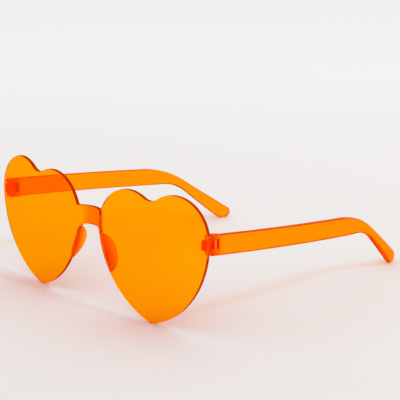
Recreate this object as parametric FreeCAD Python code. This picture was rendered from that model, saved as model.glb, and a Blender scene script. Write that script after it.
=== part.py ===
import FreeCAD
import Part
import math
import os

from FreeCAD import Vector

# Rimless heart shaped sunglasses in millimetres, standing open on the two heart tips and the two
# temple tips. X runs to the wearer's left, Y runs back along the temples and Z is up.

# Hearts, seen from ahead: medial is the nose side, lateral is the temple side
heart_pitch = 76.6
medial_half = 31.3
lateral_half = 31.8
medial_lobe_top = 58.1
lateral_lobe_top = 59.8
medial_lobe_radius = 19.2
lateral_lobe_radius = 17.6
medial_side_radius = 44.9
lateral_side_radius = 43.7
notch_radius = 7.3
tip_radius = 4.6

# Bridge between the hearts, hollowed back from their faces
bridge_top = 45.2
bridge_height = 8.4
bridge_top_fillet = 1.2
bridge_bottom_fillet = 4.2
bridge_half_width = 8.3
bridge_recess = 2.9
bridge_inner_blend = 1.2

# Front sheet
lens_thickness = 1.8
lens_radius = 371.0

# Nose pads: half-moon fins behind the medial edges, fullest above their middle
pad_top = 35.2
pad_full_height = 27.4
pad_bottom = 18.4
pad_depth = 5.8
pad_root_thickness = 2.4
pad_rim_thickness = 0.8
pad_splay = 11.5
bond_gap = 0.02

# Hinges
hinge_height = 40.9
lug_height = 4.3
hinge_round_radius = 1.9
lug_knuckle_radius = 1.7
lug_foot_radius = 5.8
lug_foot_thickness = 0.25
lug_edge_inset = 0.4
slot_clearance = 0.15
slot_end_gap = 0.8
pin_diameter = 1.4
pin_press_gap = 0.015
pin_running_gap = 0.05
pin_recess = 0.35

# Temples
temple_edge_inset = 0.2
temple_foot_gap = 0.25
temple_front_height = 8.8
temple_block_thickness = 4.2
temple_block_length = 4.6
temple_block_ramp = 2.5
temple_thickness = 3.1
temple_reach = 143.4
temple_splay = 3.8
bar_bow_radius = 600.0
bar_length = 91.0
tail_bow_radius = 262.0
bend_top_setback = 41.0
bend_top_height = 33.3
bend_top_radius = 56.0
bend_under_setback = 34.8
bend_under_height = 24.0
bend_under_radius = 27.0
tip_end_radius = 3.1
tip_sole_length = 3.4
tip_sole_radius = 2.8

# Sizes that follow from the driving dimensions
heart_centre = heart_pitch / 2
lens_edge = heart_centre + lateral_half
lens_middle = lateral_lobe_top / 2
bridge_bottom = bridge_top - bridge_height
bridge_blend = lens_thickness + bridge_inner_blend
bridge_slope = 2 * math.atan(bridge_recess / bridge_half_width)
bridge_hollow = bridge_half_width / math.sin(bridge_slope) - bridge_blend
prism_reach = 20.0

temple_outside = lens_edge - temple_edge_inset
temple_inside = temple_outside - temple_block_thickness
lug_slot = lug_height + 2 * slot_clearance
pin_radius = pin_diameter / 2


def direction(start, end):
    """Unit vector from start to end."""
    span = end - start
    return span * (1 / span.Length)


def arc_about(centre, start, end):
    """Circle arc about centre from start to end, the short way round."""
    radius = (start - centre).Length
    middle = centre + direction(centre, (start + end) * 0.5) * radius
    return Part.Arc(start, middle, end).toShape()


def circles_meet(first, first_radius, second, second_radius):
    """Crossing of two circles in the XZ plane that lies left of the way from first to second."""
    span = (second - first).Length
    along = (first_radius ** 2 - second_radius ** 2 + span ** 2) / (2 * span)
    across = math.sqrt(first_radius ** 2 - along ** 2)
    ahead = direction(first, second)
    left = Vector(-ahead.z, 0, ahead.x)
    return first + ahead * along + left * across


def mirrored(shape):
    """The shape on the other side of the middle plane."""
    return shape.mirror(Vector(0, 0, 0), Vector(1, 0, 0))


def closed_face(edges):
    """Flat face inside a loop of edges."""
    return Part.Face(Part.Wire(Part.__sortEdges__(edges)))


# Circle centres that shape the left heart, in the XZ plane
tip_centre = Vector(heart_centre, 0, tip_radius)
lateral_lobe = Vector(lens_edge - lateral_lobe_radius, 0, lateral_lobe_top - lateral_lobe_radius)
medial_edge = heart_centre - medial_half
medial_lobe = Vector(medial_edge + medial_lobe_radius, 0, medial_lobe_top - medial_lobe_radius)
lateral_side = circles_meet(
    tip_centre, lateral_side_radius - tip_radius,
    lateral_lobe, lateral_side_radius - lateral_lobe_radius)
medial_side = circles_meet(
    medial_lobe, medial_side_radius - medial_lobe_radius,
    tip_centre, medial_side_radius - tip_radius)
notch = circles_meet(
    medial_lobe, medial_lobe_radius + notch_radius,
    lateral_lobe, lateral_lobe_radius + notch_radius)


def medial_x(circle, radius, height):
    """X of a circle's medial side at a height."""
    return circle.x - math.sqrt(radius ** 2 - (height - circle.z) ** 2)


def front_outline():
    """Face of the whole front seen from ahead: two hearts of tangent arcs and the bridge."""
    under_height = bridge_bottom - bridge_bottom_fillet
    under_x = medial_x(medial_side, medial_side_radius + bridge_bottom_fillet, under_height)
    under_fillet = Vector(under_x, 0, under_height)
    over_height = bridge_top + bridge_top_fillet
    over_x = medial_x(medial_lobe, medial_lobe_radius + bridge_top_fillet, over_height)
    over_fillet = Vector(over_x, 0, over_height)

    under_start = Vector(under_x, 0, bridge_bottom)
    under_end = medial_side + direction(medial_side, under_fillet) * medial_side_radius
    tip_start = tip_centre + direction(medial_side, tip_centre) * tip_radius
    tip_end = tip_centre + direction(lateral_side, tip_centre) * tip_radius
    lateral_top = lateral_lobe + direction(lateral_side, lateral_lobe) * lateral_lobe_radius
    notch_start = lateral_lobe + direction(lateral_lobe, notch) * lateral_lobe_radius
    notch_end = medial_lobe + direction(medial_lobe, notch) * medial_lobe_radius
    over_start = medial_lobe + direction(medial_lobe, over_fillet) * medial_lobe_radius
    over_end = Vector(over_x, 0, bridge_top)

    half = [
        arc_about(under_fillet, under_start, under_end),
        arc_about(medial_side, under_end, tip_start),
        arc_about(tip_centre, tip_start, tip_end),
        arc_about(lateral_side, tip_end, lateral_top),
        arc_about(lateral_lobe, lateral_top, notch_start),
        arc_about(notch, notch_start, notch_end),
        arc_about(medial_lobe, notch_end, over_start),
        arc_about(over_fillet, over_start, over_end),
    ]
    across = [
        Part.LineSegment(under_start, Vector(-under_x, 0, bridge_bottom)).toShape(),
        Part.LineSegment(over_end, Vector(-over_x, 0, bridge_top)).toShape(),
    ]
    return closed_face(half + [mirrored(edge) for edge in half] + across)


def sheet_depth(x, offset):
    """Y of the sheet at half height, offset back from its face, at a place x on a heart."""
    across = x - bridge_half_width
    return lens_radius - math.sqrt((lens_radius - offset) ** 2 - across ** 2)


def upright_depth(z):
    """How far the upright curve has carried the sheet back at a height."""
    return lens_radius - math.sqrt(lens_radius ** 2 - (z - lens_middle) ** 2)


def sheet_curve(offset):
    """Edges of the sheet's plan curve at half height, offset back from its face, and its end."""
    heart_bend = Vector(bridge_half_width, lens_radius, lens_middle)
    blend_bend = Vector(bridge_half_width, bridge_blend, lens_middle)
    hollow_bend = Vector(0, bridge_recess - bridge_hollow, lens_middle)
    reach = lens_edge + lens_thickness

    outer_end = Vector(reach, sheet_depth(reach, offset), lens_middle)
    heart_start = Vector(bridge_half_width, offset, lens_middle)
    blend_start = blend_bend + direction(blend_bend, hollow_bend) * (bridge_blend - offset)
    middle = Vector(0, bridge_recess + offset, lens_middle)
    half = [
        arc_about(heart_bend, heart_start, outer_end),
        arc_about(blend_bend, blend_start, heart_start),
        arc_about(hollow_bend, middle, blend_start),
    ]
    return half + [mirrored(edge) for edge in half], outer_end


def sheet_layer(near, far):
    """Solid between two offsets behind the face of the front, curved both ways."""
    near_edges, near_end = sheet_curve(near)
    far_edges, far_end = sheet_curve(far)
    side = Part.LineSegment(near_end, far_end).toShape()
    section = closed_face(near_edges + far_edges + [side, mirrored(side)])
    return swung(section)


def behind_sheet(offset):
    """Solid of the room behind the sheet, from an offset behind its face."""
    edges, end = sheet_curve(offset)
    back_end = Vector(end.x, end.y + prism_reach, lens_middle)
    side = Part.LineSegment(end, back_end).toShape()
    back = Part.LineSegment(back_end, Vector(-back_end.x, back_end.y, lens_middle)).toShape()
    return swung(closed_face(edges + [side, mirrored(side), back]))


def swung(section):
    """Sweep a plan section up and down about the axis of the front's upright curve."""
    axis_point = Vector(0, lens_radius, lens_middle)
    half_angle = math.degrees(math.asin((lens_middle + lens_thickness) / lens_radius))
    start = section.copy()
    start.rotate(axis_point, Vector(1, 0, 0), -half_angle)
    return start.revolve(axis_point, Vector(1, 0, 0), 2 * half_angle)


def prism_back(face):
    """Prism of a face in the XZ plane, well ahead of the front to well behind it."""
    start = face.copy()
    start.translate(Vector(0, -prism_reach, 0))
    return start.extrude(Vector(0, 2 * prism_reach, 0))


def make_front(outline):
    """The moulded front: the curved sheet trimmed to the outline."""
    return sheet_layer(0, lens_thickness).common(prism_back(outline)).Solids[0]


def pad_side(radius, lean, reach):
    """Room on the lateral side of an arc along the heart's medial edge, leaning as it runs back."""
    low = Vector(medial_x(medial_side, radius, pad_bottom), 0, pad_bottom)
    high = Vector(medial_x(medial_side, radius, pad_top), 0, pad_top)
    far_high = Vector(heart_centre + reach, 0, pad_top)
    far_low = Vector(heart_centre + reach, 0, pad_bottom)
    face = closed_face([
        arc_about(Vector(medial_side.x, 0, medial_side.z), low, high),
        Part.LineSegment(high, far_high).toShape(),
        Part.LineSegment(far_high, far_low).toShape(),
        Part.LineSegment(far_low, low).toShape(),
    ])
    face.translate(Vector(-lean * lens_thickness, 0, 0))
    return face.extrude(Vector(lean * reach, reach, 0))


def make_nose_pad():
    """Left nose pad: a fin along the heart's medial edge that thins to its half-moon rim."""
    outer_lean = math.tan(math.radians(pad_splay))
    inner_lean = outer_lean - (pad_root_thickness - pad_rim_thickness) / pad_depth
    reach = lens_thickness + 2 * pad_depth
    fin = pad_side(medial_side_radius, outer_lean, reach)
    fin = fin.cut(pad_side(medial_side_radius - pad_root_thickness, inner_lean, 2 * reach))

    full = Vector(0, lens_thickness + pad_depth, pad_full_height)
    top = Vector(0, lens_thickness, pad_top)
    bottom = Vector(0, lens_thickness, pad_bottom)
    ahead = Vector(0, -prism_reach, 0)
    rim = []
    for end in (top, bottom):
        rise = end.z - pad_full_height
        rim_radius = (pad_depth ** 2 + rise ** 2) / (2 * pad_depth)
        rim.append(arc_about(full - Vector(0, rim_radius, 0), full, end))
        rim.append(Part.LineSegment(end, end + ahead).toShape())
    rim.append(Part.LineSegment(top + ahead, bottom + ahead).toShape())
    moon = closed_face(rim).extrude(Vector(lens_edge, 0, 0))
    return fin.common(moon).common(behind_sheet(lens_thickness + bond_gap)).Solids[0]


# Hinge pin axis: the temple's inner front corner is round about it, so that it clears the front
temple_front = (sheet_depth(temple_outside, lens_thickness)
                + upright_depth(hinge_height + temple_front_height / 2)
                + bond_gap + lug_foot_thickness + temple_foot_gap)
pin_x = temple_inside + hinge_round_radius
pin_y = temple_front + hinge_round_radius
slot_end = pin_y + lug_knuckle_radius + slot_end_gap


def upright_cylinder(radius, low, high):
    """Upright cylinder on the hinge pin's axis."""
    return Part.makeCylinder(radius, high - low, Vector(pin_x, pin_y, low))


def box_between(low, high):
    """Box from its lowest corner to its highest."""
    size = high - low
    return Part.makeBox(size.x, size.y, size.z, low)


def make_lug(outline):
    """Left hinge lug: a round foot on the back of the front, a neck and a knuckle on the pin."""
    low = hinge_height - lug_height / 2
    high = hinge_height + lug_height / 2
    face = lens_thickness + bond_gap
    foot_start = Vector(pin_x, -prism_reach, hinge_height)
    disc = Part.makeCylinder(lug_foot_radius, 2 * prism_reach, foot_start, Vector(0, 1, 0))
    inset_outline = prism_back(outline)
    inset_outline.translate(Vector(-lug_edge_inset, 0, 0))
    foot = disc.common(sheet_layer(face, face + lug_foot_thickness)).common(inset_outline)

    neck_box = box_between(
        Vector(pin_x - lug_knuckle_radius, 0, low), Vector(pin_x + lug_knuckle_radius, pin_y, high))
    neck = neck_box.common(behind_sheet(face))
    knuckle = upright_cylinder(lug_knuckle_radius, low, high)
    bore = upright_cylinder(pin_radius + pin_running_gap, low, high)
    return foot.multiFuse([neck, knuckle]).cut(bore).removeSplitter().Solids[0]


def rounded_path(points, radii):
    """Edges of an open path through points, with the corners between its ends rounded."""
    edges = []
    start = points[0]
    for before, corner, after, radius in zip(points, points[1:], points[2:], radii):
        to_before = direction(corner, before)
        to_after = direction(corner, after)
        half_turn = to_before.getAngle(to_after) / 2
        round_start = corner + to_before * (radius / math.tan(half_turn))
        round_end = corner + to_after * (radius / math.tan(half_turn))
        edges.append(Part.LineSegment(start, round_start).toShape())
        if radius > 0:
            inward = direction(Vector(), to_before + to_after)
            centre = corner + inward * (radius / math.sin(half_turn))
            edges.append(arc_about(centre, round_start, round_end))
        start = round_end
    edges.append(Part.LineSegment(start, points[-1]).toShape())
    return edges


def upper_tangent(point, centre, radius):
    """Where the line from a point ahead of and above a circle touches its upper back, in YZ."""
    span = centre - point
    reach = math.atan2(span.z, span.y) + math.asin(radius / span.Length)
    return centre + Vector(0, -math.sin(reach), math.cos(reach)) * radius


def temple_side():
    """Side view of the temple: a long sloping bar, a bend and a tail that flares to a round tip."""
    rear = temple_front + temple_reach
    tip_floor = Vector(0, rear - tip_end_radius, 0)
    tip_end = tip_floor + Vector(0, 0, tip_end_radius)
    bend_top = Vector(0, rear - bend_top_setback, bend_top_height)
    tail_top = upper_tangent(bend_top, tip_end, tip_end_radius)
    edges = rounded_path(
        [
            tip_floor,
            tip_floor - Vector(0, tip_sole_length, 0),
            Vector(0, rear - bend_under_setback, bend_under_height),
            Vector(0, temple_front, hinge_height - temple_front_height / 2),
            Vector(0, temple_front, hinge_height + temple_front_height / 2),
            bend_top,
            tail_top,
        ],
        [tip_sole_radius, bend_under_radius, 0, 0, bend_top_radius])
    face = closed_face(edges + [arc_about(tip_end, tail_top, tip_floor)])
    return face.extrude(Vector(lens_edge + prism_reach, 0, 0))


def bow_x(centre, radius, y):
    """X of a bow's outward side at a place y along the temple."""
    return centre.x + math.sqrt(radius ** 2 - (y - centre.y) ** 2)


def temple_plan():
    """Plan of the temple: a bowed bar and a tail that curls in, with a hinge block round about the pin."""
    floor = -prism_reach
    splay = math.radians(temple_splay)
    front = Vector(temple_outside, temple_front, floor)
    bar_centre = front + Vector(-math.cos(splay), math.sin(splay), 0) * bar_bow_radius
    bar_end_y = temple_front + bar_length
    bar_end = Vector(bow_x(bar_centre, bar_bow_radius, bar_end_y), bar_end_y, floor)
    inward = direction(bar_end, bar_centre)
    tail_centre = bar_end + inward * tail_bow_radius
    run_on = temple_front + temple_reach + 2 * tip_end_radius
    tip = Vector(bow_x(tail_centre, tail_bow_radius, run_on), run_on, floor)
    inner_tip = tip + direction(tip, tail_centre) * temple_thickness
    inner_bar_end = bar_end + inward * temple_thickness

    block_end = Vector(temple_inside, temple_front + temple_block_length, floor)
    ramp_y = block_end.y + temple_block_ramp
    ramp_end = Vector(bow_x(bar_centre, bar_bow_radius - temple_thickness, ramp_y), ramp_y, floor)
    pin_point = Vector(pin_x, pin_y, floor)
    round_start = Vector(temple_inside, pin_y, floor)
    round_end = Vector(pin_x, temple_front, floor)
    face = closed_face([
        arc_about(bar_centre, front, bar_end),
        arc_about(tail_centre, bar_end, tip),
        Part.LineSegment(tip, inner_tip).toShape(),
        arc_about(tail_centre, inner_tip, inner_bar_end),
        arc_about(bar_centre, inner_bar_end, ramp_end),
        Part.LineSegment(ramp_end, block_end).toShape(),
        Part.LineSegment(block_end, round_start).toShape(),
        arc_about(pin_point, round_start, round_end),
        Part.LineSegment(round_end, front).toShape(),
    ])
    return face.extrude(Vector(0, 0, lateral_lobe_top + 2 * prism_reach))


def make_temple():
    """Left temple: side and plan views combined, then slotted for the lug and bored for the pin."""
    bar = temple_side().common(temple_plan())
    slot = box_between(
        Vector(0, 0, hinge_height - lug_slot / 2),
        Vector(lens_edge + prism_reach, slot_end, hinge_height + lug_slot / 2))
    bore = upright_cylinder(pin_radius + pin_press_gap, 0, lateral_lobe_top)
    return bar.cut(slot).cut(bore).Solids[0]


def make_pin():
    """Left hinge pin, set a little below the temple's upper and lower edges."""
    half_length = temple_front_height / 2 - pin_recess
    return upright_cylinder(pin_radius, hinge_height - half_length, hinge_height + half_length)


outline_face = front_outline()
left_parts = {
    "nose_pad": make_nose_pad(),
    "hinge_lug": make_lug(outline_face),
    "temple": make_temple(),
    "hinge_pin": make_pin(),
}
nodes = {"lens_front": make_front(outline_face)}
for name, solid in left_parts.items():
    nodes[name + "_left"] = solid
    nodes[name + "_right"] = mirrored(solid)

# The origin is under the middle of the object, on the surface that it stands on
depth = left_parts["temple"].BoundBox.YMax
os.makedirs("parts", exist_ok=True)
for name, solid in nodes.items():
    solid.translate(Vector(0, -depth / 2, 0))
    solid.exportStep("parts/" + name + ".step")
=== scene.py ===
import math

import bmesh
import bpy
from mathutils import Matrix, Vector
from mathutils.geometry import delaunay_2d_cdt


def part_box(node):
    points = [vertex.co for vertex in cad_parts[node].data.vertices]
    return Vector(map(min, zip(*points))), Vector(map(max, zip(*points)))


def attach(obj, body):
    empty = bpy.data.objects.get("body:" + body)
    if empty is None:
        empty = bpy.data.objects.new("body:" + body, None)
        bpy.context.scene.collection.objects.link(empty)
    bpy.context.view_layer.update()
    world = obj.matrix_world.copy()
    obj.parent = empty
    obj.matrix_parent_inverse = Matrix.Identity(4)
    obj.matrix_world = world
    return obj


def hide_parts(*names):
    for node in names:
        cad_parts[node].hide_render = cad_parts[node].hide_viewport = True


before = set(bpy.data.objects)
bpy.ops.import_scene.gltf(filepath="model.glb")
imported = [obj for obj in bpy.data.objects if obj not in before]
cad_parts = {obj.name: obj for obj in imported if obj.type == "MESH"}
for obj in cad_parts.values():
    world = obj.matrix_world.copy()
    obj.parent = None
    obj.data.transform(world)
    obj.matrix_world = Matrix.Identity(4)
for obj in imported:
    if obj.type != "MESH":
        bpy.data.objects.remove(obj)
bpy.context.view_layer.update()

# Rimless heart shaped sunglasses in clear orange plastic. X runs to the wearer's left, Y runs back
# along the temples and Z is up. Lengths are in metres, written as millimetres times MM.
MM = 0.001

# Hearts, seen from ahead: medial is the nose side, lateral is the temple side
HEART_PITCH = 76.6 * MM
MEDIAL_HALF = 31.3 * MM
LATERAL_HALF = 31.8 * MM
MEDIAL_LOBE_TOP = 58.1 * MM
LATERAL_LOBE_TOP = 59.8 * MM
MEDIAL_LOBE_RADIUS = 19.2 * MM
LATERAL_LOBE_RADIUS = 17.6 * MM
MEDIAL_SIDE_RADIUS = 44.9 * MM
LATERAL_SIDE_RADIUS = 43.7 * MM
NOTCH_RADIUS = 7.3 * MM
TIP_RADIUS = 4.6 * MM

# Bridge and the curved sheet
BRIDGE_TOP = 45.2 * MM
BRIDGE_BOTTOM = 36.8 * MM
BRIDGE_TOP_FILLET = 1.2 * MM
BRIDGE_BOTTOM_FILLET = 4.2 * MM
BRIDGE_HALF_WIDTH = 8.3 * MM
BRIDGE_RECESS = 2.9 * MM
BRIDGE_BLEND = 3.0 * MM
LENS_THICKNESS = 1.8 * MM
LENS_RADIUS = 371.0 * MM
LENS_MIDDLE = LATERAL_LOBE_TOP / 2

# Temples
TEMPLE_FRONT_HEIGHT = 8.8 * MM
TEMPLE_EDGE_INSET = 0.2 * MM
TEMPLE_BLOCK_THICKNESS = 4.2 * MM
TEMPLE_BLOCK_LENGTH = 4.6 * MM
TEMPLE_BLOCK_RAMP = 2.5 * MM
TEMPLE_THICKNESS = 3.1 * MM
TEMPLE_SPLAY = math.radians(3.8)
BAR_BOW_RADIUS = 600.0 * MM
BAR_LENGTH = 91.0 * MM
TAIL_BOW_RADIUS = 262.0 * MM
BEND_TOP_SETBACK = 41.0 * MM
BEND_TOP_HEIGHT = 33.3 * MM
BEND_TOP_RADIUS = 56.0 * MM
BEND_UNDER_SETBACK = 34.8 * MM
BEND_UNDER_HEIGHT = 24.0 * MM
BEND_UNDER_RADIUS = 27.0 * MM
TIP_END_RADIUS = 3.1 * MM
TIP_SOLE_LENGTH = 3.4 * MM
TIP_SOLE_RADIUS = 6.0 * MM
SLOT_HEIGHT = 4.6 * MM
SLOT_DEPTH = 4.4 * MM

# Hinge lugs: a thin round foot on the back of the front, and a block round about the pin
BOND_GAP = 0.02 * MM
LUG_HEIGHT = 4.3 * MM
LUG_FOOT_RADIUS = 5.8 * MM
LUG_FOOT_THICKNESS = 0.25 * MM
LUG_EDGE_INSET = 0.4 * MM
LUG_KNUCKLE_RADIUS = 1.7 * MM
PIN_RUNNING_GAP = 0.05 * MM
PIN_PRESS_GAP = 0.015 * MM

# Nose pads: half-moon fins behind the medial edges that thin to their rims and to both ends
PAD_TOP = 35.2 * MM
PAD_FULL_HEIGHT = 27.4 * MM
PAD_SWELL_HEIGHT = 24.5 * MM
PAD_BOTTOM = 18.4 * MM
PAD_DEPTH = 5.8 * MM
PAD_ROOT_THICKNESS = 2.4 * MM
PAD_RIM_THICKNESS = 0.8 * MM
PAD_END_THICKNESS = 0.6 * MM
PAD_SPLAY = math.radians(11.5)

# Softened edges of the mouldings
LENS_EDGE_RADIUS = 0.35 * MM
TAIL_EDGE_RADIUS = 1.45 * MM
BAR_EDGE_RADIUS = 0.35 * MM
TEMPLE_CORNER_RADIUS = 0.7 * MM
PAD_EDGE_RADIUS = 0.45 * MM
PAD_EDGE_SHARE = 0.2
LUG_EDGE_RADIUS = 0.1 * MM
PIN_EDGE_RADIUS = 0.15 * MM

# Fineness of the meshes: the step along each outline, the rows and the columns of its faces
LENS_STEP, LENS_ROW, LENS_COLUMNS = 0.8 * MM, 2.6 * MM, 28
TEMPLE_STEP, TEMPLE_ROW = 0.7 * MM, 1.5 * MM
HINGE_COLUMN, HINGE_COLUMNS, BAR_COLUMNS = 0.35 * MM, 24, 60
FOOT_STEP, FOOT_ROW, FOOT_COLUMNS = 0.4 * MM, 0.9 * MM, 6
BLOCK_STEP, BLOCK_ROW, BLOCK_COLUMNS = 0.2 * MM, 0.4 * MM, 4
PAD_STEP, PAD_ROW, PAD_COLUMNS = 0.4 * MM, 0.9 * MM, 8
FEWEST_ARC_STEPS = 6
EDGE_STEPS = 5
BORE_SEGMENTS = 48
# Inset of a plate's face from its outline, in edge radii
FACE_INSET = 1.4
# Output type of the Delaunay call that keeps the triangles inside the outline
INSIDE_ONLY = 1
SAME_POINT = 1e-9

# A point of the front lies on its rim where its normal's share along the depth is below this
SEAM_TURN = 0.7

# Colours of the plastic
ORANGE_DYE = (0.99, 0.87, 0.0)
DEEP_RED_DYE = (0.99, 0.2, 0.0)
FRONT_TINT = (1.0, 0.91, 0.3)
BRIDGE_TINT = (1.0, 0.44, 0.03)
SEAM_TINT = (1.0, 0.07, 0.0)
TEMPLE_TINT = (1.0, 0.61, 0.03)
HINGE_END_TINT = (1.0, 0.28, 0.0)
PAD_TINT = (1.0, 0.15, 0.0)
PAD_RIM_TINT = (1.0, 0.6, 0.1)
HINGE_TINT = (1.0, 0.8, 0.3)
FOOT_TINT = (1.0, 0.97, 0.9)
# Colour of the painted glow, a weak emission that stands in for light scattered in the plastic
PAINTED_GLOW_TINT = (1.0, 0.15, 0.0)
GLOSS_TINT = (1.0, 0.2, 0.0)
SHADOW_TINT = (1.0, 0.72, 0.05)
# Share of green and blue that the flow marks of the moulding leave
FLOW_GREEN, FLOW_BLUE = 0.95, 0.9
ROUGHNESS_SPREAD = 0.02
SEAM_TRANSMISSION = 0.2

# Stage
FLOOR_HALF = 40.0
FLOOR_DROP = 0.05 * MM
FLOOR_NEAR, FLOOR_FAR = -0.15, 0.6
# Painted shade on the floor: its colour is darker and warmer at the front than at the back
FLOOR_NEAR_SHADED_COLOUR = (0.775, 0.747, 0.737, 1.0)
FLOOR_FAR_LIT_COLOUR = (0.905, 0.908, 0.91, 1.0)
SKY_COLOUR = (1.0, 0.99, 0.985, 1.0)
# Heights on the sky's unit sphere, and the light levels there
OVERHEAD_START, OVERHEAD_FULL = 0.3, 0.75
SURROUND_LEVEL, OVERHEAD_LEVEL = 0.2, 1.27
HORIZON_FULL, HORIZON_END = 0.09, 0.17
HORIZON_LEVEL = 0.67
KEY_DIRECTION = Vector((0.85, 0.05, 1.0)).normalized()
KEY_DISTANCE = 1.1
KEY_SIZE = 0.12
KEY_POWER = 1.6
CAMERA_AZIMUTH = math.radians(45.1)
CAMERA_ELEVATION = math.radians(15.0)
CAMERA_DISTANCE = 559.0 * MM
CAMERA_LENS = 111.24
CAMERA_SENSOR = 36.0

# Places read from the frame
pin_low, pin_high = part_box("hinge_pin_left")
pin_centre = (pin_low + pin_high) / 2
pin_radius = (pin_high.x - pin_low.x) / 2
temple_low, temple_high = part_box("temple_left")
half_depth = temple_high.y
lens_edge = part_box("lens_front")[1].x
pad_low, pad_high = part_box("nose_pad_left")
temple_front = temple_low.y
temple_outside = lens_edge - TEMPLE_EDGE_INSET
temple_inside = temple_outside - TEMPLE_BLOCK_THICKNESS


def flat(u, v):
    """A point of a plan or side view."""
    return Vector((u, v))


def toward(start, end):
    """Unit vector from start to end."""
    return (end - start).normalized()


def circles_meet(first, first_radius, second, second_radius):
    """Crossing of two circles that lies left of the way from first to second."""
    span = (second - first).length
    along = (first_radius ** 2 - second_radius ** 2 + span ** 2) / (2 * span)
    across = math.sqrt(first_radius ** 2 - along ** 2)
    ahead = toward(first, second)
    return first + ahead * along + flat(-ahead.y, ahead.x) * across


def line_points(start, end, step):
    """Points along a straight run, without its end."""
    count = max(1, round((end - start).length / step))
    return [start.lerp(end, i / count) for i in range(count)]


def arc_points(centre, start, end, step):
    """Points along the short way round a circle, without its end."""
    first = start - centre
    last = end - centre
    turn = math.atan2(first.x * last.y - first.y * last.x, first.dot(last))
    count = max(FEWEST_ARC_STEPS, round(abs(turn) * first.length / step))
    points = []
    for i in range(count):
        angle = turn * i / count
        cos, sin = math.cos(angle), math.sin(angle)
        points.append(centre + flat(first.x * cos - first.y * sin, first.x * sin + first.y * cos))
    return points


def rounded_loop(corners, radii, step):
    """Points of a closed outline with each corner rounded."""
    points = []
    count = len(corners)
    rounds = []
    for i in range(count):
        corner = corners[i]
        to_before = toward(corner, corners[i - 1])
        to_after = toward(corner, corners[(i + 1) % count])
        half_turn = to_before.angle(to_after) / 2
        cut = radii[i] / math.tan(half_turn)
        centre = corner + (to_before + to_after).normalized() * (radii[i] / math.sin(half_turn))
        rounds.append((centre, corner + to_before * cut, corner + to_after * cut))
    for i in range(count):
        centre, start, end = rounds[i]
        points += arc_points(centre, start, end, step)
        points += line_points(end, rounds[(i + 1) % count][1], step)
    return points


# Circle centres that shape the left heart, in X and Z
heart_centre = HEART_PITCH / 2
tip = flat(heart_centre, TIP_RADIUS)
lateral_lobe = flat(
    heart_centre + LATERAL_HALF - LATERAL_LOBE_RADIUS, LATERAL_LOBE_TOP - LATERAL_LOBE_RADIUS)
medial_lobe = flat(
    heart_centre - MEDIAL_HALF + MEDIAL_LOBE_RADIUS, MEDIAL_LOBE_TOP - MEDIAL_LOBE_RADIUS)
lateral_side = circles_meet(
    tip, LATERAL_SIDE_RADIUS - TIP_RADIUS, lateral_lobe, LATERAL_SIDE_RADIUS - LATERAL_LOBE_RADIUS)
medial_side = circles_meet(
    medial_lobe, MEDIAL_SIDE_RADIUS - MEDIAL_LOBE_RADIUS, tip, MEDIAL_SIDE_RADIUS - TIP_RADIUS)
notch = circles_meet(
    medial_lobe, MEDIAL_LOBE_RADIUS + NOTCH_RADIUS,
    lateral_lobe, LATERAL_LOBE_RADIUS + NOTCH_RADIUS)


def lens_outline(step):
    """Outline of the front in X and Z, anticlockwise: two hearts of arcs and the bridge."""
    under_z = BRIDGE_BOTTOM - BRIDGE_BOTTOM_FILLET
    under_reach = MEDIAL_SIDE_RADIUS + BRIDGE_BOTTOM_FILLET
    under = flat(
        medial_side.x - math.sqrt(under_reach ** 2 - (under_z - medial_side.y) ** 2), under_z)
    over_z = BRIDGE_TOP + BRIDGE_TOP_FILLET
    over_reach = MEDIAL_LOBE_RADIUS + BRIDGE_TOP_FILLET
    over = flat(
        medial_lobe.x - math.sqrt(over_reach ** 2 - (over_z - medial_lobe.y) ** 2), over_z)

    joins = [
        flat(under.x, BRIDGE_BOTTOM),
        medial_side + toward(medial_side, under) * MEDIAL_SIDE_RADIUS,
        tip + toward(medial_side, tip) * TIP_RADIUS,
        tip + toward(lateral_side, tip) * TIP_RADIUS,
        lateral_lobe + toward(lateral_side, lateral_lobe) * LATERAL_LOBE_RADIUS,
        lateral_lobe + toward(lateral_lobe, notch) * LATERAL_LOBE_RADIUS,
        medial_lobe + toward(medial_lobe, notch) * MEDIAL_LOBE_RADIUS,
        medial_lobe + toward(medial_lobe, over) * MEDIAL_LOBE_RADIUS,
        flat(over.x, BRIDGE_TOP),
    ]
    centres = [under, medial_side, tip, lateral_side, lateral_lobe, notch, medial_lobe, over]
    half = []
    for centre, start, end in zip(centres, joins, joins[1:]):
        half += arc_points(centre, start, end, step)
    other_half = [flat(-p.x, p.y) for p in half[1:]]
    over_bridge = line_points(joins[-1], flat(-over.x, BRIDGE_TOP), step)
    under_bridge = line_points(flat(-under.x, BRIDGE_BOTTOM), joins[0], step)
    return half + over_bridge + [flat(-over.x, BRIDGE_TOP)] + other_half[::-1] + under_bridge


def sheet_place(p, offset):
    """Place at an offset behind the face of the front, for a point of its outline view."""
    slope = 2 * math.atan(BRIDGE_RECESS / BRIDGE_HALF_WIDTH)
    hollow = BRIDGE_HALF_WIDTH / math.sin(slope) - BRIDGE_BLEND
    blend = BRIDGE_BLEND - offset
    x = abs(p.x)
    aside = x - BRIDGE_HALF_WIDTH
    if aside >= 0:
        y = LENS_RADIUS - math.sqrt((LENS_RADIUS - offset) ** 2 - aside ** 2)
    elif aside > -blend * math.sin(slope):
        y = BRIDGE_BLEND - math.sqrt(blend ** 2 - aside ** 2)
    else:
        y = BRIDGE_RECESS - hollow + math.sqrt((hollow + offset) ** 2 - x ** 2)
    y = LENS_RADIUS - math.sqrt((LENS_RADIUS - y) ** 2 - (p.y - LENS_MIDDLE) ** 2)
    return Vector((p.x, y - half_depth, p.y))


def lens_place(p, share):
    """Place on the front for a point of its outline view, from its face (0) to its back (1)."""
    return sheet_place(p, share * LENS_THICKNESS)


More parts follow.
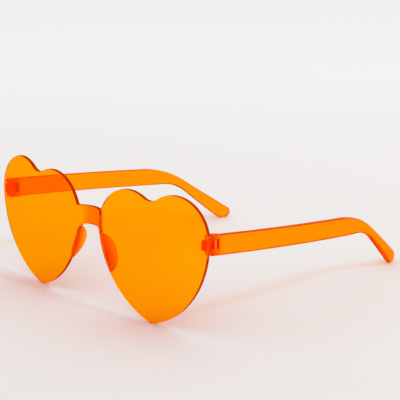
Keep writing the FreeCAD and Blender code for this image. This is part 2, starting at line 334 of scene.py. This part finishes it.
def temple_outline(step):
    """Side view of the temple in Y and Z, anticlockwise, with the slot in its hinge end."""
    rear = temple_high.y
    tip_floor = flat(rear - TIP_END_RADIUS, 0)
    tip_end = tip_floor + flat(0, TIP_END_RADIUS)
    bend_top = flat(rear - BEND_TOP_SETBACK, BEND_TOP_HEIGHT)
    span = tip_end - bend_top
    fall = math.atan2(span.y, span.x) + math.asin(TIP_END_RADIUS / span.length)
    tail_top = tip_end + flat(-math.sin(fall), math.cos(fall)) * TIP_END_RADIUS
    hinge_z = pin_centre.z
    front_top = hinge_z + TEMPLE_FRONT_HEIGHT / 2
    front_bottom = hinge_z - TEMPLE_FRONT_HEIGHT / 2
    # The round tip is the rounding of the corner where the tail's upper edge meets the floor
    along = tail_top - bend_top
    heel = bend_top + along * (bend_top.y / -along.y)
    corners = [
        heel, bend_top,
        flat(temple_front, front_top),
        flat(temple_front, hinge_z + SLOT_HEIGHT / 2),
        flat(temple_front + SLOT_DEPTH, hinge_z + SLOT_HEIGHT / 2),
        flat(temple_front + SLOT_DEPTH, hinge_z - SLOT_HEIGHT / 2),
        flat(temple_front, hinge_z - SLOT_HEIGHT / 2),
        flat(temple_front, front_bottom),
        flat(rear - BEND_UNDER_SETBACK, BEND_UNDER_HEIGHT),
        tip_floor - flat(TIP_SOLE_LENGTH, 0),
    ]
    corner = TEMPLE_CORNER_RADIUS
    radii = [
        TIP_END_RADIUS, BEND_TOP_RADIUS, corner, corner, corner / 2, corner / 2, corner, corner,
        BEND_UNDER_RADIUS, TIP_SOLE_RADIUS,
    ]
    return rounded_loop(corners, radii, step)


def bow_x(y, inset):
    """X of the bowed bar and the tail that curls in, at a place along the left temple."""
    bar_centre = flat(temple_outside, temple_front) + flat(
        -math.cos(TEMPLE_SPLAY), math.sin(TEMPLE_SPLAY)) * BAR_BOW_RADIUS
    bar_end_y = temple_front + BAR_LENGTH
    bar_end = flat(
        bar_centre.x + math.sqrt(BAR_BOW_RADIUS ** 2 - (bar_end_y - bar_centre.y) ** 2), bar_end_y)
    inward = toward(bar_end, bar_centre)
    if y < bar_end.y + inward.y * inset:
        centre, radius = bar_centre, BAR_BOW_RADIUS - inset
    else:
        centre, radius = bar_end + inward * TAIL_BOW_RADIUS, TAIL_BOW_RADIUS - inset
    return centre.x + math.sqrt(radius ** 2 - (y - centre.y) ** 2)


def temple_place(p, share):
    """Place on the left temple for a point of its side view, from outside (0) to inside (1)."""
    y = p.x
    outside = bow_x(y, 0.0)

    def bar_inside(at):
        return bow_x(at, TEMPLE_THICKNESS)

    block_end = temple_front + TEMPLE_BLOCK_LENGTH
    ramp_end = block_end + TEMPLE_BLOCK_RAMP
    round_radius = pin_centre.y - temple_front
    if y < pin_centre.y:
        reach = min(round_radius, pin_centre.y - y)
        inside = pin_centre.x - math.sqrt(round_radius ** 2 - reach ** 2)
    elif y < block_end:
        inside = temple_inside
    elif y < ramp_end:
        share_of_ramp = (y - block_end) / TEMPLE_BLOCK_RAMP
        inside = temple_inside + (bar_inside(ramp_end) - temple_inside) * share_of_ramp
    else:
        inside = bar_inside(y)
    return Vector((outside + (inside - outside) * share, y, p.y))


def temple_edge_radius(p):
    """Rounding of the temple's long edges: fine on the bar, full round on the tail."""
    bend_start = temple_front + BAR_LENGTH
    bend_end = temple_high.y - BEND_UNDER_SETBACK
    share = min(1.0, max(0.0, (p.x - bend_start) / (bend_end - bend_start)))
    return BAR_EDGE_RADIUS + (TAIL_EDGE_RADIUS - BAR_EDGE_RADIUS) * share


def inset_loop(loop, distances):
    """The loop with each of its points moved inwards by a distance, mitred at its corners."""
    moved = []
    for i, p in enumerate(loop):
        before = toward(loop[i - 1], p)
        after = toward(p, loop[(i + 1) % len(loop)])
        first = flat(-before.y, before.x)
        second = flat(-after.y, after.x)
        moved.append(p + (first + second) * (distances[i] / (1 + first.dot(second))))
    return moved


def inside_loop(p, loop):
    """Whether a point lies inside a closed loop."""
    inside = False
    for a, b in zip(loop, loop[1:] + loop[:1]):
        if (a.y > p.y) != (b.y > p.y) and p.x < a.x + (p.y - a.y) / (b.y - a.y) * (b.x - a.x):
            inside = not inside
    return inside


def spread_points(loop, columns, row_step):
    """Points inside the loop on the given columns, kept clear of the loop."""
    low = min(p.y for p in loop)
    high = max(p.y for p in loop)
    rows = max(2, round((high - low) / row_step))
    clearance = row_step / 3
    found = []
    for u in columns:
        for i in range(1, rows):
            p = flat(u, low + (high - low) * i / rows)
            if not inside_loop(p, loop):
                continue
            if min((q - p).length_squared for q in loop) > clearance ** 2:
                found.append(p)
    return found


def moulded_plate(name, loop, place, edge_radius, columns, row_step):
    """Closed mesh of a moulded plate: two faces over one outline and a wall with rounded edges."""
    arc = [math.pi / 2 * i / EDGE_STEPS for i in range(EDGE_STEPS + 1)]
    profile = [(FACE_INSET, 0.0)] + [(1 - math.sin(a), 1 - math.cos(a)) for a in arc]
    radii = [edge_radius(p) for p in loop]

    mesh = bmesh.new()
    rings = []
    for from_back in (False, True):
        side = []
        for inset, depth in profile:
            ring = []
            for p, radius in zip(inset_loop(loop, [inset * r for r in radii]), radii):
                front, back = place(p, 0.0), place(p, 1.0)
                inward = toward(front, back) * (depth * radius)
                ring.append(mesh.verts.new(back - inward if from_back else front + inward))
            side.append(ring)
        rings += side[::-1] if from_back else side
    count = len(loop)
    for near, far in zip(rings, rings[1:]):
        for i in range(count):
            j = (i + 1) % count
            mesh.faces.new((near[i], near[j], far[j], far[i]))

    border = inset_loop(loop, [FACE_INSET * r for r in radii])
    points = border + spread_points(border, columns, row_step)
    edges = [(i, (i + 1) % count) for i in range(count)]
    _, _, triangles, sources, _, _ = delaunay_2d_cdt(
        points, edges, [], INSIDE_ONLY, SAME_POINT)
    for share, ring in ((0.0, rings[0]), (1.0, rings[-1])):
        verts = ring + [mesh.verts.new(place(p, share)) for p in points[count:]]
        for triangle in triangles:
            mesh.faces.new([verts[sources[k][0]] for k in triangle])
    bmesh.ops.recalc_face_normals(mesh, faces=mesh.faces)
    return finished(name, mesh)


def finished(name, mesh):
    """Object of a bmesh, shaded smooth."""
    for face in mesh.faces:
        face.smooth = True
    data = bpy.data.meshes.new(name)
    mesh.to_mesh(data)
    mesh.free()
    piece = bpy.data.objects.new(name, data)
    bpy.context.scene.collection.objects.link(piece)
    return piece


def mirror_copy(piece, name):
    """The piece on the other side of the middle plane."""
    mesh = bmesh.new()
    mesh.from_mesh(piece.data)
    for vert in mesh.verts:
        vert.co.x = -vert.co.x
    bmesh.ops.reverse_faces(mesh, faces=mesh.faces)
    return finished(name, mesh)


def bore(piece, centre, radius, reach):
    """Cut an upright round hole through a piece."""
    cutter_mesh = bmesh.new()
    bmesh.ops.create_cone(
        cutter_mesh, cap_ends=True, segments=BORE_SEGMENTS,
        radius1=radius, radius2=radius, depth=reach)
    bmesh.ops.translate(cutter_mesh, verts=cutter_mesh.verts, vec=centre)
    cutter = finished("bore_cutter", cutter_mesh)
    cut = piece.modifiers.new("bore", "BOOLEAN")
    cut.operation = "DIFFERENCE"
    cut.solver = "EXACT"
    cut.object = cutter
    depsgraph = bpy.context.evaluated_depsgraph_get()
    bored = bpy.data.meshes.new_from_object(piece.evaluated_get(depsgraph))
    piece.modifiers.clear()
    piece.data = bored
    bpy.data.objects.remove(cutter)


def soften(node, radius):
    """Round the sharp edges of a carried piece."""
    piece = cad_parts[node]
    for polygon in piece.data.polygons:
        polygon.use_smooth = True
    weld = piece.modifiers.new("weld", "WELD")
    weld.merge_threshold = 0.001 * MM
    bevel = piece.modifiers.new("soft_edges", "BEVEL")
    bevel.limit_method = "ANGLE"
    bevel.angle_limit = math.radians(35)
    bevel.width = radius
    bevel.segments = 3
    bevel.use_clamp_overlap = True
    normals = piece.modifiers.new("even_shading", "WEIGHTED_NORMAL")
    normals.keep_sharp = False


# Materials, with the sockets of a colour Mix node, which share their names with other sockets
MIX_A, MIX_B, MIX_RESULT = 6, 7, 2


def plastic(name, tint, roughness, seed, dye_colour=ORANGE_DYE, dye_density=1300.0):
    """Clear dyed plastic: gloss with faint moulding waves, dye that deepens with thickness, and a
    faint painted glow.
    """
    material = bpy.data.materials.new(name)
    material.use_nodes = True
    nodes = material.node_tree.nodes
    links = material.node_tree.links
    shader = nodes["Principled BSDF"]
    output = nodes["Material Output"]
    shader.inputs["Transmission Weight"].default_value = 1.0
    shader.inputs["IOR"].default_value = 1.49
    # The film works like an anti-reflection coating, so that the pale floor isn't mirrored
    shader.inputs["Thin Film Thickness"].default_value = 110.0
    shader.inputs["Thin Film IOR"].default_value = 1.22
    shader.inputs["Specular IOR Level"].default_value = 0.3
    shader.inputs["Specular Tint"].default_value = (*GLOSS_TINT, 1.0)
    # Painted glow: a weak orange emission stands in for light scattered in the plastic
    shader.inputs["Emission Color"].default_value = (*PAINTED_GLOW_TINT, 1.0)
    shader.inputs["Emission Strength"].default_value = 0.1

    where = nodes.new("ShaderNodeTexCoord")
    flow = nodes.new("ShaderNodeTexNoise")
    flow.noise_dimensions = "4D"
    flow.inputs["W"].default_value = seed
    flow.inputs["Scale"].default_value = 60.0
    flow.inputs["Detail"].default_value = 1.0
    links.new(where.outputs["Object"], flow.inputs["Vector"])

    colour = nodes.new("ShaderNodeMix")
    colour.data_type = "RGBA"
    colour.inputs[MIX_A].default_value = (*tint, 1.0)
    colour.inputs[MIX_B].default_value = (
        tint[0], tint[1] * FLOW_GREEN, tint[2] * FLOW_BLUE, 1.0)
    links.new(flow.outputs["Fac"], colour.inputs["Factor"])
    links.new(colour.outputs[MIX_RESULT], shader.inputs["Base Color"])

    handling = nodes.new("ShaderNodeTexNoise")
    handling.inputs["Scale"].default_value = 900.0
    handling.inputs["Detail"].default_value = 3.0
    links.new(where.outputs["Object"], handling.inputs["Vector"])
    gloss = nodes.new("ShaderNodeMapRange")
    gloss.inputs["To Min"].default_value = roughness - ROUGHNESS_SPREAD
    gloss.inputs["To Max"].default_value = roughness + ROUGHNESS_SPREAD
    links.new(handling.outputs["Fac"], gloss.inputs["Value"])
    links.new(gloss.outputs["Result"], shader.inputs["Roughness"])

    waves = nodes.new("ShaderNodeBump")
    waves.inputs["Strength"].default_value = 0.25
    waves.inputs["Distance"].default_value = 0.02 * MM
    links.new(flow.outputs["Fac"], waves.inputs["Height"])
    links.new(waves.outputs["Normal"], shader.inputs["Normal"])

    dye = nodes.new("ShaderNodeVolumeAbsorption")
    dye.inputs["Color"].default_value = (*dye_colour, 1.0)
    dye.inputs["Density"].default_value = dye_density
    links.new(dye.outputs["Volume"], output.inputs["Volume"])

    # Light on its way to the floor passes straight through with a tint
    path = nodes.new("ShaderNodeLightPath")
    clear = nodes.new("ShaderNodeBsdfTransparent")
    clear.inputs["Color"].default_value = (*SHADOW_TINT, 1.0)
    shown = shader.outputs["BSDF"]
    for ray in ("Is Diffuse Ray", "Is Shadow Ray"):
        through = nodes.new("ShaderNodeMixShader")
        links.new(path.outputs[ray], through.inputs[0])
        links.new(shown, through.inputs[1])
        links.new(clear.outputs["BSDF"], through.inputs[2])
        shown = through.outputs["Shader"]
    links.new(shown, output.inputs["Surface"])
    return material


def blend_tint(material, share, tint):
    """Mix another tint into a plastic's colour, by a socket that gives its share."""
    nodes = material.node_tree.nodes
    links = material.node_tree.links
    base = nodes["Principled BSDF"].inputs["Base Color"]
    colour = nodes.new("ShaderNodeMix")
    colour.data_type = "RGBA"
    colour.inputs[MIX_B].default_value = (*tint, 1.0)
    links.new(share, colour.inputs["Factor"])
    links.new(base.links[0].from_socket, colour.inputs[MIX_A])
    links.new(colour.outputs[MIX_RESULT], base)


def object_place(material):
    """Node that gives the place on the piece as X, Y and Z."""
    nodes = material.node_tree.nodes
    where = nodes.new("ShaderNodeTexCoord")
    place = nodes.new("ShaderNodeSeparateXYZ")
    material.node_tree.links.new(where.outputs["Object"], place.inputs["Vector"])
    return place


def smooth_share(material, value, start, end):
    """Socket that rises smoothly from 0 to 1 while a value runs from start to end."""
    share = material.node_tree.nodes.new("ShaderNodeMapRange")
    share.interpolation_type = "SMOOTHSTEP"
    share.inputs["From Min"].default_value = start
    share.inputs["From Max"].default_value = end
    material.node_tree.links.new(value, share.inputs["Value"])
    return share.outputs["Result"]


def deepen_bridge(material):
    """Let the tint of the front deepen at the bridge."""
    aside = material.node_tree.nodes.new("ShaderNodeMath")
    aside.operation = "ABSOLUTE"
    material.node_tree.links.new(object_place(material).outputs["X"], aside.inputs[0])
    share = smooth_share(
        material, aside.outputs["Value"], BRIDGE_HALF_WIDTH, BRIDGE_HALF_WIDTH / 3)
    blend_tint(material, share, BRIDGE_TINT)


def redden_seam(material):
    """Let the bonded seam that a piece is marked with show as dull red."""
    nodes = material.node_tree.nodes
    links = material.node_tree.links
    seam = nodes.new("ShaderNodeAttribute")
    seam.attribute_name = "seam"
    blend_tint(material, seam.outputs["Fac"], SEAM_TINT)
    clear = nodes.new("ShaderNodeMapRange")
    clear.inputs["To Min"].default_value = 1.0
    clear.inputs["To Max"].default_value = SEAM_TRANSMISSION
    links.new(seam.outputs["Fac"], clear.inputs["Value"])
    links.new(clear.outputs["Result"], nodes["Principled BSDF"].inputs["Transmission Weight"])


def tint_along(material, start, end, end_tint):
    """Let a piece's tint change along its depth, up to a place where it has the end tint."""
    share = smooth_share(material, object_place(material).outputs["Y"], start, end)
    blend_tint(material, share, end_tint)


front_plastic = plastic("front_plastic", FRONT_TINT, 0.04, 1.0, dye_density=3000.0)
temple_plastic = plastic("temple_plastic", TEMPLE_TINT, 0.16, 4.0)
pad_plastic = plastic("pad_plastic", PAD_TINT, 0.08, 9.0, dye_density=2000.0)
lug_plastic = plastic("lug_plastic", HINGE_TINT, 0.08, 13.0, DEEP_RED_DYE, 3500.0)
foot_plastic = plastic("foot_plastic", FOOT_TINT, 0.04, 17.0, dye_density=200.0)
pin_plastic = plastic("pin_plastic", HINGE_TINT, 0.08, 21.0)


def wear(piece, material):
    """Give a piece one material."""
    piece.data.materials.clear()
    piece.data.materials.append(material)


# The front
lens_columns = [lens_edge * i / LENS_COLUMNS for i in range(-LENS_COLUMNS, LENS_COLUMNS + 1)]
front_shell = moulded_plate(
    "front_shell", lens_outline(LENS_STEP), lens_place, lambda p: LENS_EDGE_RADIUS,
    lens_columns, LENS_ROW)
seam = front_shell.data.attributes.new("seam", "FLOAT", "POINT")
for vert in front_shell.data.vertices:
    if abs(vert.co.x) < heart_centre:
        bonded = pad_low.z < vert.co.z < pad_high.z
    else:
        bonded = abs(vert.co.z - pin_centre.z) < TEMPLE_FRONT_HEIGHT / 2
    if bonded and abs(vert.normal.y) < SEAM_TURN:
        seam.data[vert.index].value = 1.0
deepen_bridge(front_plastic)
redden_seam(front_plastic)
wear(front_shell, front_plastic)
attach(front_shell, "front")
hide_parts("lens_front")

# The temples
hinge_columns = [temple_front + HINGE_COLUMN * i for i in range(1, HINGE_COLUMNS)]
bar_start = hinge_columns[-1]
bar_columns = [
    bar_start + (temple_high.y - bar_start) * i / BAR_COLUMNS for i in range(1, BAR_COLUMNS)]
temple_arm_left = moulded_plate(
    "temple_arm_left", temple_outline(TEMPLE_STEP), temple_place, temple_edge_radius,
    hinge_columns + bar_columns, TEMPLE_ROW)
bore(temple_arm_left, pin_centre, pin_radius + PIN_PRESS_GAP, 2 * TEMPLE_FRONT_HEIGHT)
temple_arm_right = mirror_copy(temple_arm_left, "temple_arm_right")
tint_start = temple_front + TEMPLE_BLOCK_LENGTH + TEMPLE_BLOCK_RAMP
tint_along(temple_plastic, tint_start, temple_front + SLOT_DEPTH, HINGE_END_TINT)
for piece, side in ((temple_arm_left, "left"), (temple_arm_right, "right")):
    wear(piece, temple_plastic)
    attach(piece, "temple_" + side)
    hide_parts("temple_" + side)

# The hinge lugs


def lug_foot_outline(step):
    """Round foot of the left lug in X and Z, cut back from the lateral edge of the front."""
    switch = (lateral_lobe + toward(lateral_side, lateral_lobe) * LATERAL_LOBE_RADIUS).y
    count = round(2 * math.pi * LUG_FOOT_RADIUS / step)
    middle = flat(pin_centre.x, pin_centre.z)
    points = []
    for i in range(count):
        angle = 2 * math.pi * i / count
        p = middle + flat(math.cos(angle), math.sin(angle)) * LUG_FOOT_RADIUS
        if p.y > switch:
            centre, radius = lateral_lobe, LATERAL_LOBE_RADIUS
        else:
            centre, radius = lateral_side, LATERAL_SIDE_RADIUS
        p.x = min(p.x, centre.x + math.sqrt(radius ** 2 - (p.y - centre.y) ** 2) - LUG_EDGE_INSET)
        points.append(p)
    return points


def lug_foot_place(p, share):
    """Place on the left lug's foot, from the side on the front (0) to its back (1)."""
    return sheet_place(p, LENS_THICKNESS + BOND_GAP + share * LUG_FOOT_THICKNESS)


def lug_face_y(x, z):
    """Y of the back of the front where the left lug sits on it."""
    return sheet_place(flat(x, z), LENS_THICKNESS + BOND_GAP).y


def lug_block_outline(step):
    """Plan of the left lug's block, anticlockwise: a neck on the front and a knuckle."""
    left = pin_centre.x - LUG_KNUCKLE_RADIUS
    right = pin_centre.x + LUG_KNUCKLE_RADIUS
    pin_point = flat(pin_centre.x, pin_centre.y)
    left_side = flat(left, pin_centre.y)
    right_side = flat(right, pin_centre.y)
    back_point = pin_point + flat(0, LUG_KNUCKLE_RADIUS)
    points = [
        flat(p.x, lug_face_y(p.x, pin_centre.z))
        for p in line_points(flat(left, 0), flat(right, 0), step)]
    points += line_points(flat(right, lug_face_y(right, pin_centre.z)), right_side, step)
    points += arc_points(pin_point, right_side, back_point, step)
    points += arc_points(pin_point, back_point, left_side, step)
    points += line_points(left_side, points[0], step)
    return points


def lug_block_place(p, share):
    """Place on the left lug's block, from top (0) to bottom (1), leaning with the front."""
    z = pin_centre.z + LUG_HEIGHT * (0.5 - share)
    face = lug_face_y(p.x, pin_centre.z)
    near_front = min(1.0, max(0.0, (pin_centre.y - p.y) / (pin_centre.y - face)))
    return Vector((p.x, p.y + (lug_face_y(p.x, z) - face) * near_front, z))


foot_columns = [
    pin_centre.x + LUG_FOOT_RADIUS * i / FOOT_COLUMNS
    for i in range(-FOOT_COLUMNS, FOOT_COLUMNS + 1)]
lug_foot_left = moulded_plate(
    "lug_foot_left", lug_foot_outline(FOOT_STEP), lug_foot_place, lambda p: LUG_EDGE_RADIUS,
    foot_columns, FOOT_ROW)
block_columns = [
    pin_centre.x + BLOCK_ROW * i for i in range(-BLOCK_COLUMNS, BLOCK_COLUMNS + 1)]
lug_block_left = moulded_plate(
    "lug_block_left", lug_block_outline(BLOCK_STEP), lug_block_place, lambda p: LUG_EDGE_RADIUS,
    block_columns, BLOCK_ROW)
bore(lug_block_left, pin_centre, pin_radius + PIN_RUNNING_GAP, 2 * LUG_HEIGHT)
lug_foot_right = mirror_copy(lug_foot_left, "lug_foot_right")
lug_block_right = mirror_copy(lug_block_left, "lug_block_right")
for piece, side, material in (
        (lug_foot_left, "left", foot_plastic), (lug_foot_right, "right", foot_plastic),
        (lug_block_left, "left", lug_plastic), (lug_block_right, "right", lug_plastic)):
    wear(piece, material)
    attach(piece, "front")
    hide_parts("hinge_lug_" + side)

# The nose pads


def pad_outline(step):
    """Half-moon of the pad in depth behind the front and height, anticlockwise."""
    bottom = flat(0, PAD_BOTTOM)
    full = flat(PAD_DEPTH, PAD_FULL_HEIGHT)
    top = flat(0, PAD_TOP)
    points = []
    for start, end, rise in (
            (bottom, full, PAD_FULL_HEIGHT - PAD_BOTTOM), (full, top, PAD_TOP - PAD_FULL_HEIGHT)):
        radius = (PAD_DEPTH ** 2 + rise ** 2) / (2 * PAD_DEPTH)
        points += arc_points(full - flat(radius, 0), start, end, step)
    return points + line_points(top, bottom, step)


def pad_thickness(p):
    """Thickness of the pad at a point of its half-moon."""
    end = PAD_TOP if p.y > PAD_SWELL_HEIGHT else PAD_BOTTOM
    swell = max(0.0, 1 - ((p.y - PAD_SWELL_HEIGHT) / (end - PAD_SWELL_HEIGHT)) ** 2)
    full = PAD_ROOT_THICKNESS + (PAD_RIM_THICKNESS - PAD_ROOT_THICKNESS) * p.x / PAD_DEPTH
    return PAD_END_THICKNESS + (full - PAD_END_THICKNESS) * swell


def pad_place(p, share):
    """Place on the left pad for a point of its half-moon, from nose side (0) to far side (1)."""
    edge = medial_side.x - math.sqrt(MEDIAL_SIDE_RADIUS ** 2 - (p.y - medial_side.y) ** 2)
    x = edge + math.tan(PAD_SPLAY) * p.x + pad_thickness(p) * share
    root = sheet_place(flat(x, p.y), LENS_THICKNESS + BOND_GAP).y
    bulge = root + half_depth - LENS_THICKNESS
    return Vector((x, root + p.x - bulge * p.x / PAD_DEPTH, p.y))


def pad_edge_radius(p):
    """Rounding of the pad's edges, less where it is thin."""
    return min(PAD_EDGE_RADIUS, PAD_EDGE_SHARE * pad_thickness(p))


pad_columns = [PAD_DEPTH * i / PAD_COLUMNS for i in range(1, PAD_COLUMNS)]
nose_fin_left = moulded_plate(
    "nose_fin_left", pad_outline(PAD_STEP), pad_place, pad_edge_radius, pad_columns, PAD_ROW)
nose_fin_right = mirror_copy(nose_fin_left, "nose_fin_right")
tint_along(pad_plastic, pad_low.y, pad_high.y, PAD_RIM_TINT)
for piece, side in ((nose_fin_left, "left"), (nose_fin_right, "right")):
    wear(piece, pad_plastic)
    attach(piece, "front")
    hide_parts("nose_pad_" + side)

# The pins
for side in ("left", "right"):
    wear(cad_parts["hinge_pin_" + side], pin_plastic)
    soften("hinge_pin_" + side, PIN_EDGE_RADIUS)

# Floor: pale paper with painted shade, a little warmer and darker in front, standing in for light
# that falls off towards the front
floor_data = bpy.data.meshes.new("floor")
floor_data.from_pydata(
    [(-FLOOR_HALF, -FLOOR_HALF, 0), (FLOOR_HALF, -FLOOR_HALF, 0),
     (FLOOR_HALF, FLOOR_HALF, 0), (-FLOOR_HALF, FLOOR_HALF, 0)], [], [(0, 1, 2, 3)])
floor = bpy.data.objects.new("floor", floor_data)
floor.location.z = -FLOOR_DROP
bpy.context.scene.collection.objects.link(floor)
paper = bpy.data.materials.new("floor_paper")
paper.use_nodes = True
paper_nodes = paper.node_tree.nodes
paper_links = paper.node_tree.links
paper_shader = paper_nodes["Principled BSDF"]
paper_where = paper_nodes.new("ShaderNodeTexCoord")
paper_along = paper_nodes.new("ShaderNodeVectorMath")
paper_along.operation = "DOT_PRODUCT"
paper_along.inputs[1].default_value = (
    -math.sin(CAMERA_AZIMUTH), math.cos(CAMERA_AZIMUTH), 0.0)
paper_links.new(paper_where.outputs["Object"], paper_along.inputs[0])
# Painted shade: the paper's colour blends from the darker near colour to the lighter far colour
painted_falloff_share = paper_nodes.new("ShaderNodeMapRange")
painted_falloff_share.inputs["From Min"].default_value = FLOOR_NEAR
painted_falloff_share.inputs["From Max"].default_value = FLOOR_FAR
paper_links.new(paper_along.outputs["Value"], painted_falloff_share.inputs["Value"])
painted_falloff_colour = paper_nodes.new("ShaderNodeMix")
painted_falloff_colour.data_type = "RGBA"
painted_falloff_colour.inputs[MIX_A].default_value = FLOOR_NEAR_SHADED_COLOUR
painted_falloff_colour.inputs[MIX_B].default_value = FLOOR_FAR_LIT_COLOUR
paper_links.new(painted_falloff_share.outputs["Result"], painted_falloff_colour.inputs["Factor"])
paper_links.new(painted_falloff_colour.outputs[MIX_RESULT], paper_shader.inputs["Base Color"])
paper_shader.inputs["Roughness"].default_value = 0.7
paper_shader.inputs["Specular IOR Level"].default_value = 0.1
wear(floor, paper)

# Light: a wide soft source overhead, a dim surround, a pale horizon and one soft lamp
world = bpy.data.worlds.new("studio")
world.use_nodes = True
sky_nodes = world.node_tree.nodes
sky_links = world.node_tree.links
sky_where = sky_nodes.new("ShaderNodeTexCoord")
sky_height = sky_nodes.new("ShaderNodeVectorMath")
sky_height.operation = "DOT_PRODUCT"
sky_height.inputs[1].default_value = (0.0, 0.0, 1.0)
sky_links.new(sky_where.outputs["Generated"], sky_height.inputs[0])
sky_strength = sky_nodes.new("ShaderNodeMath")
for i, (start, end, start_level, end_level) in enumerate((
        (OVERHEAD_START, OVERHEAD_FULL, SURROUND_LEVEL, OVERHEAD_LEVEL),
        (HORIZON_FULL, HORIZON_END, HORIZON_LEVEL, 0.0))):
    sky_level = sky_nodes.new("ShaderNodeMapRange")
    sky_level.interpolation_type = "SMOOTHSTEP"
    sky_level.inputs["From Min"].default_value = start
    sky_level.inputs["From Max"].default_value = end
    sky_level.inputs["To Min"].default_value = start_level
    sky_level.inputs["To Max"].default_value = end_level
    sky_links.new(sky_height.outputs["Value"], sky_level.inputs["Value"])
    sky_links.new(sky_level.outputs["Result"], sky_strength.inputs[i])
sky = sky_nodes["Background"]
sky.inputs["Color"].default_value = SKY_COLOUR
sky_links.new(sky_strength.outputs["Value"], sky.inputs["Strength"])
bpy.context.scene.world = world

key_data = bpy.data.lights.new("key", "AREA")
key_data.shape = "DISK"
key_data.size = KEY_SIZE
key_data.energy = KEY_POWER
key = bpy.data.objects.new("key", key_data)
key.location = KEY_DIRECTION * KEY_DISTANCE
key.rotation_mode = "QUATERNION"
key.rotation_quaternion = (-KEY_DIRECTION).to_track_quat("-Z", "Y")
bpy.context.scene.collection.objects.link(key)

# Camera at the photograph's angle
camera_side = Vector((
    math.sin(CAMERA_AZIMUTH) * math.cos(CAMERA_ELEVATION),
    -math.cos(CAMERA_AZIMUTH) * math.cos(CAMERA_ELEVATION),
    math.sin(CAMERA_ELEVATION)))
camera_target = Vector((29.5 * MM, 41.37 * MM - half_depth, 46.7 * MM))
camera_data = bpy.data.cameras.new("camera")
camera_data.sensor_width = CAMERA_SENSOR
camera_data.lens = CAMERA_LENS
camera_data.clip_start = 0.01
camera = bpy.data.objects.new("camera", camera_data)
camera.location = camera_target + camera_side * CAMERA_DISTANCE
camera.rotation_mode = "QUATERNION"
camera.rotation_quaternion = (-camera_side).to_track_quat("-Z", "Y")
bpy.context.scene.collection.objects.link(camera)
bpy.context.scene.camera = camera
bpy.context.scene.view_settings.view_transform = "Standard"

bpy.context.view_layer.update()
